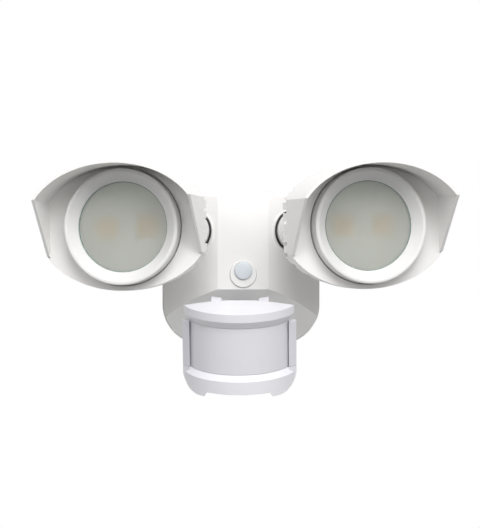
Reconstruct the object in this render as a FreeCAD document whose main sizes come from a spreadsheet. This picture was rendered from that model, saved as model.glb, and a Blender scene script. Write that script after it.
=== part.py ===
import FreeCAD, Part
import os
import re
from math import cos, radians, sin, sqrt

import Sketcher

# Motion sensor security light for a wall.
# Millimetres. The wall is the plane y = 0 and the light stands out of it towards -Y.
# +X is to the right of a person who faces the light, +Z is up.
# The origin is the centre of the wall box's screw pattern, which is the middle of the housing.
# Heights are measured from a level just under the front panel, and each piece is then moved down to fit.

SIZES = {
    # Housing outline, seen from the front: a tall block with rounded corners, larger ones below
    "housing_half": 57.0,
    "top_height": 71.0,
    "bottom_drop": 38.5,
    "corner_radius": 16.0,
    "lower_round": 29.2,
    "flange_thick": 3.0,
    "flange_step": 1.3,
    "cover_wall": 3.0,
    "cover_depth": 48.0,
    "gasket_thick": 2.0,
    "gasket_width": 3.2,
    # Front of the housing
    "panel_half": 18.0,
    "panel_bottom": 2.0,
    "wing_radius": 120.0,
    "wing_offset": 24.2,
    "edge_round": 2.0,
    # Rear of the housing
    "rear_pocket": 13.2,
    "ledge_width": 4.0,
    "sill_rise": 14.2,
    "sill_round": 20.3,
    "back_plate_thick": 2.5,
    "back_gasket_thick": 1.2,
    "post_radius": 4.2,
    "post_inset": 14.0,
    "post_hole_depth": 6.0,
    "post_screw_length": 9.0,
    "wire_hole_radius": 14.0,
    "wire_hole_z": 18.0,
    # Steel plate on the wall box
    "plate_thick": 1.5,
    "plate_width": 30.0,
    "plate_margin": 2.5,
    "strap_width": 15.0,
    "box_screw_spacing": 88.9,
    "box_slot_radius": 2.4,
    "box_slot_length": 8.0,
    "plate_tab_depth": 7.5,
    "hook_drop": 11.0,
    "hook_lip": 4.0,
    "hook_width": 24.0,
    "hook_rib": 3.0,
    "lock_screw_y": 6.0,
    "lock_seat_rise": 5.5,
    "lock_tab_rise": 10.5,
    "lock_tab_thick": 3.0,
    "lock_tab_clear": 0.5,
    "lock_screw_length": 8.6,
    "ground_screw_x": 22.0,
    "ground_screw_drop": 9.0,
    # Screws
    "small_screw_radius": 1.5,
    "machine_screw_radius": 2.0,
    "screw_clearance": 0.1,
    "screw_head_height": 2.0,
    "screw_slot_width": 0.8,
    "overlap": 1.0,
    # Photocell window
    "cell_ring_radius": 9.6,
    "cell_ring_thick": 1.4,
    "cell_ring_drop": 10.8,
    "cell_dome_radius": 6.2,
    "cell_dome_rise": 2.4,
    "cell_ring_bevel": 0.5,
    "cell_sleeve_radius": 5.1,
    "cell_sleeve_length": 5.0,
    "cell_bore_radius": 4.0,
    "cell_length": 4.0,
    # Driver inside the housing
    "board_thick": 1.6,
    "driver_width": 44.0,
    "driver_top_gap": 9.0,
    "driver_low": 6.0,
    "driver_depth": 19.0,
    "board_post_radius": 3.0,
    "board_post_inset": 4.0,
    "board_edge": 2.0,
    "transformer_width": 20.0,
    "transformer_depth": 14.0,
    "transformer_height": 17.0,
    "transformer_rise": 22.0,
    "bobbin_edge": 2.0,
    "capacitor_radius": 5.0,
    "capacitor_length": 18.0,
    "capacitor_x": 8.0,
    "relay_width": 13.0,
    "relay_depth": 12.0,
    "relay_height": 9.0,
    "terminal_width": 26.0,
    "terminal_depth": 10.0,
    "terminal_height": 9.0,
    "terminal_pitch": 8.0,
    "terminal_well": 2.2,
    # Swivel seats on the wings
    "seat_x": 35.5,
    "seat_drop": 27.7,
    "seat_proud": 1.2,
    "seat_angle": 27.0,
    "seat_radius": 15.6,
    "seat_back": 7.0,
    "seal_radius": 14.3,
    "seal_section": 0.75,
    "seal_gap": 0.05,
    "stem_radius": 7.0,
    "running_gap": 0.06,
    "nut_radius": 11.0,
    "nut_thick": 5.0,
    "flange_nut_edge": 1.2,
    # Swivel arms
    "disc_thick": 4.0,
    "neck_radius": 8.0,
    "neck_flare": 2.5,
    "elbow_height": 11.0,
    "link_radius": 6.0,
    "knuckle_side": 15.0,
    "knuckle_up": 2.2,
    "knuckle_out": 26.6,
    "knuckle_turn": 14.67,
    "lug_width": 10.0,
    "lug_radius": 8.0,
    "cheek_width": 4.0,
    "cheek_gap": 0.3,
    "bridge_back": 17.0,
    "bridge_thick": 5.0,
    "bolt_radius": 2.5,
    "bolt_head_height": 2.6,
    "bolt_nut_thick": 3.5,
    "wire_bore": 4.5,
    "swivel_rest": 1.7,
    # Lamp heads. The head's own axis is Z, X is across and Y is up.
    "head_side": 14.0,
    "head_reach": 38.0,
    "hood_half_width": 60.0,
    "hood_half_height": 43.25,
    "hood_flat": 54.0,
    "hood_depth": 36.0,
    "hood_wall": 1.8,
    "hood_step": 1.5,
    "face_thick": 3.0,
    "skirt_depth": 10.0,
    "sink_inset": 1.0,
    "sink_taper": 4.0,
    "sink_depth": 16.0,
    "cavity_depth": 2.0,
    "fin_pitch": 7.4,
    "fin_gap": 2.4,
    "fin_cut": 9.0,
    "head_post_x": 46.3,
    "head_post_radius": 3.4,
    "head_screw_sink": 5.0,
    "side_fin_depth": 7.0,
    "collar_step": 0.3,
    "lug_pad_proud": 1.5,
    # Lamp optics
    "bezel_radius": 39.5,
    "bezel_gap": 0.7,
    "bezel_height": 10.4,
    "bezel_crest": 2.4,
    "bezel_round": 1.1,
    "glass_edge": 30.8,
    "bezel_lip": 0.7,
    "glass_radius": 34.0,
    "glass_front": 3.0,
    "glass_thick": 3.2,
    "lens_gasket": 1.4,
    "fit_gap": 0.2,
    "led_board_radius": 33.0,
    "cavity_radius": 34.6,
    "led_size": 13.5,
    "led_thick": 1.4,
    "led_spacing": 28.0,
    "reflector_hole": 23.0,
    "reflector_wall": 1.2,
    # Sensor arm
    "pan_setback": 18.0,
    "pan_boss_radius": 9.5,
    "pan_boss_skirt": 0.6,
    "pan_disc_thick": 3.5,
    "pan_stem_radius": 5.0,
    "pan_rest": -4.7,
    "pan_seat": -1.5,
    "pan_nut_thick": 2.8,
    "sensor_arm_width": 16.0,
    "sensor_arm_rise": 9.0,
    "sensor_arm_back": 2.5,
    "sensor_pivot_out": 29.0,
    "sensor_pivot_drop": 12.5,
    "sensor_tilt_rest": 13.5,
    "knuckle_half": 12.6,
    "sensor_knuckle_radius": 7.0,
    "sensor_bolt_radius": 2.0,
    "sensor_bolt_head": 2.2,
    "sensor_nut_thick": 3.2,
    # Sensor body. Its own Z is up, -Y is forward, and its origin is the tilt pivot.
    "ear_inner": 13.0,
    "ear_outer": 20.0,
    "ear_radius": 9.8,
    "ear_taper": 1.2,
    "ear_root": 3.5,
    "front_radius": 40.0,
    "front_centre": 8.1,
    "rear_radius": 63.5,
    "rear_apex": 9.0,
    "cap_top": 9.5,
    "cap_band": 5.6,
    "cap_chamfer": 5.0,
    "cap_inset": 3.2,
    "cap_wall": 2.2,
    "lens_radius": 36.6,
    "lens_thick": 1.2,
    "lens_half": 34.0,
    "lens_height": 32.7,
    "case_half": 39.3,
    "case_front": 25.0,
    "post_shoulder": 20.2,
    "post_back": 18.6,
    "case_wall": 2.5,
    "tray_lip": 3.8,
    "tray_bottom": 50.0,
    "tray_round": 12.0,
    "recess_half": 21.5,
    "recess_depth": 3.2,
    "foot_slope": 2.5,
    "knob_radius": 4.2,
    "knob_gap": 0.4,
    "knob_spacing": 12.5,
    "knob_forward": 27.0,
    "knob_proud": 1.2,
    "knob_shaft": 1.5,
    "knob_height": 3.6,
    "knob_slot": 1.2,
    "pot_size": 9.0,
    "pot_height": 4.6,
    "control_board_drop": 37.0,
    "control_board_width": 50.0,
    "control_board_depth": 15.0,
    "sensor_board_width": 52.0,
    "sensor_board_height": 27.0,
    "sensor_board_drop": 31.0,
    "sensor_board_y": 20.0,
    "detector_radius": 4.6,
    "detector_height": 4.2,
    "detector_drop": 17.0,
    "board_peg_x": 20.0,
    "board_peg_radius": 2.3,
    "screw_tube_wall": 1.2,
    "screw_tube_length": 14.0,
    "sensor_screw_length": 20.0,
    "sensor_screw_sink": 4.0,
    "sensor_screw_x": 29.5,
    "sensor_screw_y": 20.5,
}

# The housing's underside is one slope from the panel's lower edge to the foot of the flange
SLOPE = ("((panel_bottom + bottom_drop - flange_step)"
         " / (cover_depth - gasket_thick - flange_thick))")
BOX_CENTRE = "((top_height - bottom_drop) / 2)"
SILL = "(bottom_drop - sill_rise)"
HOOK = "(top_height - hook_drop)"
LOCK_SEAT = "(lock_seat_rise - bottom_drop)"
LOCK_TAB = "(lock_tab_rise - bottom_drop)"
PAN_DEPTH = "(cover_depth - pan_setback)"
PAN_LOW = f"(panel_bottom - (pan_setback + pan_boss_radius) * {SLOPE} - pan_boss_skirt)"

SIDES = {"left": -1, "right": 1}

doc = FreeCAD.newDocument("SecurityLight")
sheet = doc.addObject("Spreadsheet::Sheet", "Sizes")
for row, (size_name, size) in enumerate(SIZES.items(), start=1):
    sheet.set(f"A{row}", size_name)
    sheet.set(f"B{row}", str(size))
    sheet.setAlias(f"B{row}", size_name)
doc.recompute()

pieces = []


def linked(formula):
    """Writes each size name in a formula as a reference to the sheet."""
    def reference(word):
        return "Sizes." + word.group() if word.group() in SIZES else word.group()
    return re.sub(r"[a-z_]+", reference, str(formula))


def bind(item, **formulas):
    """Ties properties of an object to formulas of sizes."""
    for name, formula in formulas.items():
        item.setExpression(name, linked(formula))


def put(item, at=(0, 0, 0), turn=None):
    """Places an object by three formulas, with an optional rotation."""
    item.Placement = FreeCAD.Placement(FreeCAD.Vector(), turn or FreeCAD.Rotation())
    for axis, formula in zip("xyz", at):
        item.setExpression("Placement.Base." + axis, linked(formula))
    return item


def rotation(axis, angle):
    """A rotation about X, Y or Z in degrees."""
    vectors = {"x": (1, 0, 0), "y": (0, 1, 0), "z": (0, 0, 1)}
    return FreeCAD.Rotation(FreeCAD.Vector(*vectors[axis]), angle)


ALONG_X = rotation("y", 90)
ALONG_Y = rotation("x", -90)
TO_FRONT = rotation("x", 90)


def block(size, low, turn=None):
    """A box by its three lengths and its low corner."""
    item = doc.addObject("Part::Box", "Block")
    bind(item, Length=size[0], Width=size[1], Height=size[2])
    return put(item, low, turn)


def rod(radius, length, at=(0, 0, 0), turn=None):
    """A cylinder that starts at a point and runs along Z, or along the turned Z."""
    item = doc.addObject("Part::Cylinder", "Rod")
    bind(item, Radius=radius, Height=length)
    return put(item, at, turn)


def taper(low_radius, high_radius, length, at=(0, 0, 0), turn=None):
    """A cone that is cut off at both ends."""
    item = doc.addObject("Part::Cone", "Taper")
    bind(item, Radius1=low_radius, Radius2=high_radius, Height=length)
    return put(item, at, turn)


def ball(radius, at=(0, 0, 0)):
    item = doc.addObject("Part::Sphere", "Ball")
    bind(item, Radius=radius)
    return put(item, at)


def hoop(radius, section, at=(0, 0, 0), turn=None):
    """A ring of round section."""
    item = doc.addObject("Part::Torus", "Hoop")
    bind(item, Radius1=radius, Radius2=section)
    return put(item, at, turn)


def fuse(*shapes):
    item = doc.addObject("Part::MultiFuse", "Fuse")
    item.Shapes = list(shapes)
    item.Refine = True
    return item


def common(*shapes):
    item = doc.addObject("Part::MultiCommon", "Common")
    item.Shapes = list(shapes)
    item.Refine = True
    return item


def cut(base, *tools):
    item = doc.addObject("Part::Cut", "Cut")
    item.Base = base
    item.Tool = tools[0] if len(tools) == 1 else fuse(*tools)
    item.Refine = True
    return item


def group(*shapes):
    """Separate solids that are kept as one sub-part."""
    item = doc.addObject("Part::Compound", "Group")
    item.Links = list(shapes)
    return item


def polygon_sketch(body, plane_role, points):
    """A closed outline of straight lines whose corners are bound to formulas."""
    sketch = body.newObject("Sketcher::SketchObject", "Outline")
    plane = [item for item in body.Origin.OriginFeatures if item.Role == plane_role][0]
    sketch.AttachmentSupport = [(plane, "")]
    sketch.MapMode = "FlatFace"
    count = len(points)
    for index in range(count):
        angle = radians(360 * index / count)
        after = radians(360 * (index + 1) / count)
        start = FreeCAD.Vector(100 + 10 * cos(angle), 100 + 10 * sin(angle), 0)
        end = FreeCAD.Vector(100 + 10 * cos(after), 100 + 10 * sin(after), 0)
        sketch.addGeometry(Part.LineSegment(start, end))
    for index in range(count):
        sketch.addConstraint(Sketcher.Constraint("Coincident", index, 2, (index + 1) % count, 1))
    for index, corner in enumerate(points):
        for kind, formula in zip(("DistanceX", "DistanceY"), corner):
            number = sketch.addConstraint(Sketcher.Constraint(kind, -1, 1, index, 1, 100.0))
            sketch.setExpression(f"Constraints[{number}]", linked(formula))
    return sketch


def prism(plane_role, points, length):
    """An outline padded by a length, half of it to each side of its plane."""
    body = doc.addObject("PartDesign::Body", "Prism")
    sketch = polygon_sketch(body, plane_role, points)
    pad = body.newObject("PartDesign::Pad", "Pad")
    pad.Profile = sketch
    pad.SideType = "Symmetric"
    bind(pad, Length=length)
    sketch.Visibility = False
    return body


def turned(points):
    """A piece made on a lathe: an outline of (radius, height) corners turned about Z."""
    body = doc.addObject("PartDesign::Body", "Turned")
    sketch = polygon_sketch(body, "XZ_Plane", points)
    turn = body.newObject("PartDesign::Revolution", "Turn")
    turn.Profile = sketch
    turn.ReferenceAxis = (sketch, ["V_Axis"])
    turn.Angle = 360
    return body


def rounded(base, radius_name, chosen):
    """Rounds the edges that a test picks."""
    doc.recompute()
    radius = getattr(sheet, radius_name)
    item = doc.addObject("Part::Fillet", "Rounded")
    item.Base = base
    edges = [number for number, edge in enumerate(base.Shape.Edges, start=1) if chosen(edge)]
    item.Edges = [(number, radius, radius) for number in edges]
    return item


def screw(length, shank="small_screw_radius", at=(0, 0, 0), turn=None):
    """A pan head screw whose head rests on z = 0 and whose shank runs towards -Z."""
    head = rod(f"2 * {shank}", "screw_head_height")
    slot = block((f"4 * {shank}", "screw_slot_width", "screw_head_height"),
                 (f"-2 * {shank}", "-screw_slot_width / 2", "screw_head_height / 2"))
    body = rod(shank, length, (0, 0, f"-({length})"))
    return put(cut(fuse(head, body), slot), at, turn)


def framed(item, frame):
    """Places a shape in a frame and keeps the place it has in that frame."""
    whole = group(item) if item.ExpressionEngine else item
    whole.Placement = frame
    return whole


def piece(name, item, frame=None):
    """Names a finished sub-part and places it, with the middle of the housing as the origin."""
    middle = frame_at(0, 0, -(sheet.top_height - sheet.bottom_drop) / 2)
    whole = framed(item, middle.multiply(frame) if frame else middle)
    whole.Label = name
    pieces.append(whole)


def frame_at(x, y, z, turn=None):
    return FreeCAD.Placement(FreeCAD.Vector(x, y, z), turn or FreeCAD.Rotation())


# Housing

def outline(inset, front, back, drop="bottom_drop", lower="lower_round"):
    """The housing's outline, moved in by an inset, from one depth to another."""
    half = f"(housing_half - ({inset}))"
    top = f"(top_height - ({inset}))"
    bottom = f"({inset} - {drop})"
    depth = f"({front}) - ({back})"
    low = f"-({front})"
    corners = {
        f"(corner_radius - ({inset}))": 1,
        f"({lower} - ({inset}))": -1,
    }
    upper, under = corners
    shapes = [
        block((f"2 * {half}", depth, f"{top} - {upper} - {bottom} - {under}"),
              (f"-{half}", low, f"{bottom} + {under}")),
        block((f"2 * ({half} - {upper})", depth, f"{top} - {bottom} - {under}"),
              (f"-({half} - {upper})", low, f"{bottom} + {under}")),
        block((f"2 * ({half} - {under})", depth, f"{top} - {upper} - {bottom}"),
              (f"-({half} - {under})", low, bottom)),
    ]
    for side in SIDES.values():
        shapes.append(rod(upper, depth, (f"{side} * ({half} - {upper})", low, f"{top} - {upper}"), ALONG_Y))
        shapes.append(rod(under, depth, (f"{side} * ({half} - {under})", low, f"{bottom} + {under}"),
                          ALONG_Y))
    return fuse(*shapes)


def housing_form(inset, wall, back, drop="bottom_drop", lower="lower_round"):
    """The housing's body: its outline, hollowed wings and sloping underside, made smaller by a wall."""
    front = f"cover_depth - {wall}"
    axis_y = "(-cover_depth + sqrt(wing_radius^2 - (panel_half + wing_offset)^2))"
    wings = [
        rod(f"wing_radius - {wall}", "3 * top_height",
            (f"{-side} * wing_offset", axis_y, "-1.5 * top_height"))
        for side in SIDES.values()
    ]
    rise = f"(panel_bottom + {wall} * sqrt(1 + {SLOPE}^2))"
    under = prism("YZ_Plane", [
        ("-cover_depth - cover_wall", f"{rise} + cover_wall * {SLOPE}"),
        ("cover_wall", f"{rise} - (cover_depth + cover_wall) * {SLOPE}"),
        ("cover_wall", "-2 * top_height"),
        ("-cover_depth - cover_wall", "-2 * top_height"),
    ], "4 * housing_half")
    return cut(common(outline(inset, front, back, drop, lower), *wings), under)


def seat_frame(side):
    """The plane of a swivel seat: Z points out of the wing."""
    turn = rotation("z", side * sheet.seat_angle).multiply(TO_FRONT)
    axis_y = -sheet.cover_depth + sqrt(sheet.wing_radius**2 - (sheet.panel_half + sheet.wing_offset)**2)
    wing_y = axis_y - sqrt(sheet.wing_radius**2 - (sheet.seat_x + sheet.wing_offset)**2)
    return frame_at(side * sheet.seat_x, wing_y - sheet.seat_proud, sheet.top_height - sheet.seat_drop,
                    turn)


def post_places():
    """The four places where the back plate is screwed to the cover."""
    places = []
    for side in SIDES.values():
        for height in ("top_height - post_inset", f"post_inset - {SILL}"):
            places.append((f"{side} * (housing_half - post_inset)", height))
    return places


def is_front_top(edge):
    """The top edges of the panel and the wings."""
    box = edge.BoundBox
    top = sheet.top_height - sheet.flange_step
    return abs(box.ZMin - top) < 0.01 and box.YMax < -sheet.cover_depth / 2 and box.XLength > 1


def front_cover():
    skin = rounded(housing_form("flange_step", "0", "gasket_thick"), "edge_round", is_front_top)
    flange = outline("0", "gasket_thick + flange_thick", "gasket_thick")
    wall = "flange_step + cover_wall"
    pocket = outline(wall, "rear_pocket", "0", SILL, "sill_round")
    hollow = housing_form(f"{wall} + ledge_width", "cover_wall", "0", SILL, "sill_round")
    chin = common(housing_form(wall, "cover_wall", "0"),
                  block(("2 * housing_half", "cover_depth", "bottom_drop"),
                        ("-housing_half", "-cover_depth", f"flange_step - {SILL} - bottom_drop")))
    shell = cut(fuse(skin, flange), pocket, hollow, chin)
    seats = []
    bores = []
    for side in SIDES.values():
        seats.append(framed(rod("seat_radius", "seat_back", (0, 0, "-seat_back")), seat_frame(side)))
        bore = rod("stem_radius + running_gap", "3 * seat_back", (0, 0, "-2 * seat_back"))
        bores.append(framed(bore, seat_frame(side)))
    inner = [block(("7 * machine_screw_radius", "2 * lock_screw_y - gasket_thick",
                    "lock_tab_rise - lock_seat_rise"),
                   ("-3.5 * machine_screw_radius", "-2 * lock_screw_y", f"{LOCK_SEAT} - lock_tab_clear"))]
    holes = []
    for x, z in post_places():
        inner.append(rod("post_radius", "cover_depth - rear_pocket", (x, "-cover_depth", z), ALONG_Y))
        holes.append(rod("small_screw_radius + screw_clearance", "post_hole_depth + overlap",
                         (x, "-rear_pocket - post_hole_depth", z), ALONG_Y))
    kept = common(housing_form("flange_step", "cover_wall / 2", "gasket_thick"), fuse(*inner))
    boss = rod("pan_boss_radius", f"pan_seat - {PAN_LOW}", (0, f"-{PAN_DEPTH}", PAN_LOW))
    hook = block(("hook_width", "hook_rib", "hook_drop - cover_wall - fit_gap"),
                 ("-hook_width / 2", "-gasket_thick - hook_rib", f"{HOOK} + fit_gap"))
    lock = rod("machine_screw_radius + screw_clearance", "bottom_drop",
               (0, "-lock_screw_y", "-bottom_drop - overlap"))
    sink = rod("2.5 * machine_screw_radius", "lock_seat_rise + overlap",
               (0, "-lock_screw_y", "-bottom_drop - overlap"))
    stem = rod("pan_stem_radius + running_gap", f"pan_seat - {PAN_LOW} + 2 * overlap",
               (0, f"-{PAN_DEPTH}", f"{PAN_LOW} - overlap"))
    cell = rod("cell_sleeve_radius + screw_clearance", "3 * cover_wall",
               (0, "-cover_depth - cover_wall", "panel_bottom + cell_ring_drop"), ALONG_Y)
    solid = fuse(fuse(shell, boss, *seats), kept, hook)
    piece("front_cover", cut(solid, fuse(*holes), fuse(*bores), fuse(lock, sink), stem, cell))


def mounting_plate():
    """A level bar with two slots for the box screws, and an upright strap from the lock tab to the hook."""
    half = "(housing_half - flange_step - gasket_width - plate_margin)"
    bar = block((f"2 * {half}", "plate_thick", "plate_width"),
                (f"-{half}", "-plate_thick", f"{BOX_CENTRE} - plate_width / 2"))
    strap = block(("strap_width", "plate_thick", f"{HOOK} - {LOCK_TAB}"),
                  ("-strap_width / 2", "-plate_thick", LOCK_TAB))
    shelf = block(("strap_width", "plate_tab_depth", "plate_thick"),
                  ("-strap_width / 2", "-plate_tab_depth", f"{HOOK} - plate_thick"))
    lip = block(("strap_width", "plate_thick", "hook_lip"),
                ("-strap_width / 2", "-plate_tab_depth", f"{HOOK} - plate_thick"))
    reach = "(lock_screw_y + 1.5 * machine_screw_radius)"
    tab = block(("strap_width", reach, "lock_tab_thick"), ("-strap_width / 2", f"-{reach}", LOCK_TAB))
    cuts = [rod("machine_screw_radius", "3 * lock_tab_thick",
                (0, "-lock_screw_y", f"{LOCK_TAB} - lock_tab_thick"))]
    run = "(box_slot_length / 2 - box_slot_radius)"
    for end in (-1, 1):
        middle = f"{end} * box_screw_spacing / 2"
        for step in (-1, 1):
            cuts.append(rod("box_slot_radius", "4 * plate_thick",
                            (f"{middle} + {step} * {run}", "-2 * plate_thick", BOX_CENTRE), ALONG_Y))
        cuts.append(block((f"2 * {run}", "4 * plate_thick", "2 * box_slot_radius"),
                          (f"{middle} - {run}", "-2 * plate_thick", f"{BOX_CENTRE} - box_slot_radius")))
    cuts.append(rod("machine_screw_radius", "4 * plate_thick",
                    ("ground_screw_x", "-2 * plate_thick", f"{BOX_CENTRE} - ground_screw_drop"), ALONG_Y))
    piece("mounting_plate", cut(fuse(bar, strap, shelf, lip, tab), *cuts))


def housing_hardware():
    """The screws of the housing, with the wall gasket and the back plate's gasket."""
    ring = cut(outline("flange_step", "gasket_thick", "0"),
               outline("flange_step + gasket_width", "gasket_thick + overlap", "-overlap"))
    piece("wall_gasket", ring)
    inner = "flange_step + cover_wall + fit_gap"
    ledge = "flange_step + cover_wall + ledge_width"
    gasket = cut(outline(inner, "rear_pocket", "rear_pocket - back_gasket_thick", SILL, "sill_round"),
                 outline(ledge, "rear_pocket + overlap", "0", SILL, "sill_round"))
    piece("back_plate_gasket", gasket)
    ground = screw("plate_thick", "machine_screw_radius",
                   ("ground_screw_x", "-plate_thick", f"{BOX_CENTRE} - ground_screw_drop"), TO_FRONT)
    piece("ground_screw", ground)
    lock = screw("lock_screw_length", "machine_screw_radius", (0, "-lock_screw_y", LOCK_SEAT),
                 rotation("x", 180))
    piece("lock_screw", lock)
    rest = "-(rear_pocket - back_gasket_thick - back_plate_thick)"
    screws = [screw("post_screw_length", "small_screw_radius", (x, rest, z), ALONG_Y)
              for x, z in post_places()]
    piece("back_plate_screws", group(*screws))


def back_plate():
    """Closes the housing behind the driver, with a hole for the supply leads and four board posts."""
    front = "(rear_pocket - back_gasket_thick)"
    plate = outline("flange_step + cover_wall + fit_gap", front, f"{front} - back_plate_thick", SILL,
                    "sill_round")
    shapes = [plate]
    for side in SIDES.values():
        for z in ("driver_low + board_post_inset", "top_height - driver_top_gap - board_post_inset"):
            shapes.append(rod("board_post_radius", f"driver_depth - {front} + overlap",
                              (f"{side} * (driver_width / 2 - board_post_inset)", "-driver_depth", z),
                              ALONG_Y))
    cuts = [rod("wire_hole_radius", "rear_pocket", (0, "-rear_pocket", "wire_hole_z"), ALONG_Y)]
    for x, z in post_places():
        cuts.append(rod("small_screw_radius + screw_clearance", "rear_pocket", (x, "-rear_pocket", z),
                        ALONG_Y))
    piece("back_plate", cut(fuse(*shapes), *cuts))


def driver():
    """The power board with its main components and the terminal block."""
    front = "(-driver_depth - board_thick)"
    top = "(top_height - driver_top_gap)"
    board = block(("driver_width", "board_thick", f"{top} - driver_low"),
                  ("-driver_width / 2", front, "driver_low"))
    piece("driver_board", board)
    rise = "driver_low + transformer_rise"
    core = block(("transformer_width", "transformer_depth", "transformer_height"),
                 ("-transformer_width / 2", f"{front} - transformer_depth", rise))
    bobbin = block(("transformer_width - 2 * bobbin_edge", "transformer_depth + bobbin_edge",
                    "transformer_height + 2 * bobbin_edge"),
                   ("-transformer_width / 2 + bobbin_edge", f"{front} - transformer_depth - bobbin_edge",
                    f"{rise} - bobbin_edge"))
    piece("transformer", fuse(core, bobbin))
    piece("capacitor", rod("capacitor_radius", "capacitor_length",
                           ("capacitor_x", f"{front} - capacitor_length",
                            f"{top} - capacitor_radius - board_edge"),
                           ALONG_Y))
    piece("relay", block(("relay_width", "relay_depth", "relay_height"),
                         ("-relay_width - board_post_inset", f"{front} - relay_depth",
                          f"{top} - relay_height - board_edge")))
    terminal = block(("terminal_width", "terminal_depth", "terminal_height"),
                     ("-terminal_width / 2", f"{front} - terminal_depth", "driver_low + board_edge"))
    wells = [rod("terminal_well", "terminal_depth / 2",
                 (f"{index} * terminal_pitch", f"{front} - terminal_depth - overlap",
                  "driver_low + board_edge + terminal_height / 2"), ALONG_Y)
             for index in (-1, 0, 1)]
    piece("terminal_block", cut(terminal, *wells))


def photocell():
    """The round window in the panel: a flat ring, an off-centre dome and the cell behind it."""
    ring_z = "panel_bottom + cell_ring_drop"
    dome_z = "panel_bottom + cell_ring_drop + cell_dome_rise"
    plate = taper("cell_ring_radius - cell_ring_bevel", "cell_ring_radius", "cell_ring_thick",
                  (0, "-cover_depth - cell_ring_thick", ring_z), ALONG_Y)
    sleeve = rod("cell_sleeve_radius", "cell_sleeve_length", (0, "-cover_depth", ring_z), ALONG_Y)
    bore = rod("cell_bore_radius", "2 * cell_dome_radius + cell_sleeve_length",
               (0, "-cover_depth - 2 * cell_dome_radius", ring_z), ALONG_Y)
    dome_y = "-cover_depth - cell_ring_thick / 2"
    seat = rod("cell_dome_radius + screw_clearance", "cell_dome_radius",
               (0, f"{dome_y} - cell_dome_radius", dome_z), ALONG_Y)
    piece("photocell_ring", cut(fuse(plate, sleeve), bore, seat))
    sphere = ball("cell_dome_radius * 1.3", (0, f"{dome_y} + cell_dome_radius * 0.68", dome_z))
    slab = rod("cell_dome_radius", "cell_dome_radius", (0, f"{dome_y} - cell_dome_radius", dome_z), ALONG_Y)
    piece("photocell_dome", common(sphere, slab))
    piece("photocell", rod("cell_bore_radius - running_gap", "cell_length",
                           (0, "-cover_depth + cell_ring_thick", ring_z), ALONG_Y))


# Lamp heads and their arms

def arm_frame(side):
    """The arm's own frame at rest: the seat plane, turned a little about its axis."""
    return seat_frame(side).multiply(frame_at(0, 0, 0, rotation("z", sheet.swivel_rest)))


def knuckle_frame(side):
    """The tilt pivot: X is the bolt, Z points along the lamp's beam."""
    return arm_frame(side).multiply(knuckle_move(side))


def head_frame(side):
    """The lamp head: its origin is the middle of the front face, Z is the beam."""
    return knuckle_frame(side).multiply(frame_at(side * sheet.head_side, 0, sheet.head_reach))


def arm_parts(side_name, side):
    """The swivel arm with its seal, nut, tilt bolt and tilt nut."""
    frame = arm_frame(side)
    bolt_frame = knuckle_frame(side).multiply(frame_at(0, 0, 0, rotation("z", 90 + 90 * side)))
    disc = rod("seal_radius - seal_section - seal_gap", "disc_thick - seal_gap", (0, 0, "seal_gap"))
    neck = taper("neck_radius + neck_flare", "neck_radius", "elbow_height - disc_thick",
                 (0, 0, "disc_thick"))
    elbow = ball("neck_radius", (0, 0, "elbow_height"))
    stem_end = "(seat_back + flange_nut_edge + nut_thick + overlap)"
    stem = rod("stem_radius", f"{stem_end} + overlap", (0, 0, f"-{stem_end}"))
    across = rotation("y", side * 90)
    link = rod("link_radius", "knuckle_side + cheek_width", (0, "knuckle_up / 2", "elbow_height"), across)
    fork = framed(fork_shape(), knuckle_move(side))
    wires = rod("wire_bore", f"{stem_end} + disc_thick", (0, 0, f"-{stem_end} - overlap"))
    piece(f"{side_name}_arm", cut(fuse(disc, neck, elbow, stem, link, fork), wires), frame)
    piece(f"{side_name}_seal", hoop("seal_radius", "seal_section", (0, 0, "seal_section + seal_gap")),
          frame)
    nut_back = "-seat_back - flange_nut_edge - nut_thick"
    nut = fuse(hexagon("nut_radius", "nut_thick + flange_nut_edge", (0, 0, nut_back)),
               rod("nut_radius + 2 * flange_nut_edge", "flange_nut_edge",
                   (0, 0, "-seat_back - flange_nut_edge")))
    bore = rod("stem_radius + running_gap / 2", "4 * nut_thick", (0, 0, "-seat_back - 3 * nut_thick"))
    piece(f"{side_name}_swivel_nut", cut(nut, bore), frame)
    half = "(lug_width / 2 + cheek_gap + cheek_width)"
    tail = f"({half} + bolt_nut_thick + overlap)"
    shank = rod("bolt_radius", f"{tail} + {half}", (f"-{tail}", 0, 0), ALONG_X)
    head = taper("1.9 * bolt_radius", "1.5 * bolt_radius", "bolt_head_height", (half, 0, 0), ALONG_X)
    piece(f"{side_name}_tilt_bolt", fuse(shank, head), bolt_frame)
    tilt_nut = cut(hexagon("1.8 * bolt_radius", "bolt_nut_thick", (f"-{half} - bolt_nut_thick", 0, 0),
                           ALONG_X),
                   rod("bolt_radius + running_gap / 2", f"4 * {half}", (f"-2 * {half}", 0, 0), ALONG_X))
    piece(f"{side_name}_tilt_nut", tilt_nut, bolt_frame)


def hexagon(radius, thick, at=(0, 0, 0), turn=None):
    """A hexagonal prism whose flats are a radius from its axis."""
    item = doc.addObject("Part::Prism", "Hexagon")
    item.Polygon = 6
    bind(item, Circumradius=f"({radius}) / cos(30 deg)", Height=thick)
    return put(item, at, turn)


def knuckle_move(side):
    """From the arm's frame to the tilt pivot's frame."""
    return frame_at(side * sheet.knuckle_side, sheet.knuckle_up, sheet.knuckle_out,
                    rotation("y", -side * sheet.knuckle_turn))


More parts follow.
